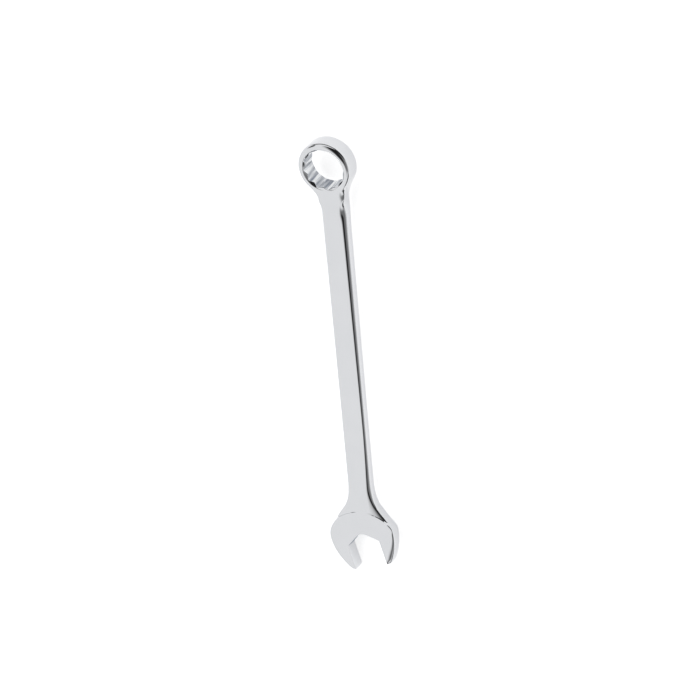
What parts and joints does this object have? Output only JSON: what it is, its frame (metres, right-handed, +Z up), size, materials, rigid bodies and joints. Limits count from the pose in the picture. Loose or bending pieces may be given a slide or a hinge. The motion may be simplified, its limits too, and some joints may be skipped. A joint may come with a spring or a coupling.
{
  "type": "combination wrench",
  "caption": "Chrome plated combination wrench: a tilted twelve point ring at one end of a flat shank and an angled open jaw of the same size at the other.",
  "frame": {"origin": "centre of the bounding box's base, so the wrench lies on the plane Z = 0 on its ring and its jaw pad", "axes": "+X along the shank from the box end to the open end, +Z up out of the shank's upper face, on the side that the ring is raised to"},
  "size_m": [0.2094, 0.0346, 0.0154],
  "materials": {
    "chrome_plate": "polished nickel chrome plate over a forging"
  },
  "bodies": {
    "root": {"box_end": "chrome_plate", "shank": "chrome_plate", "open_end": "chrome_plate"}
  },
  "joints": []
}
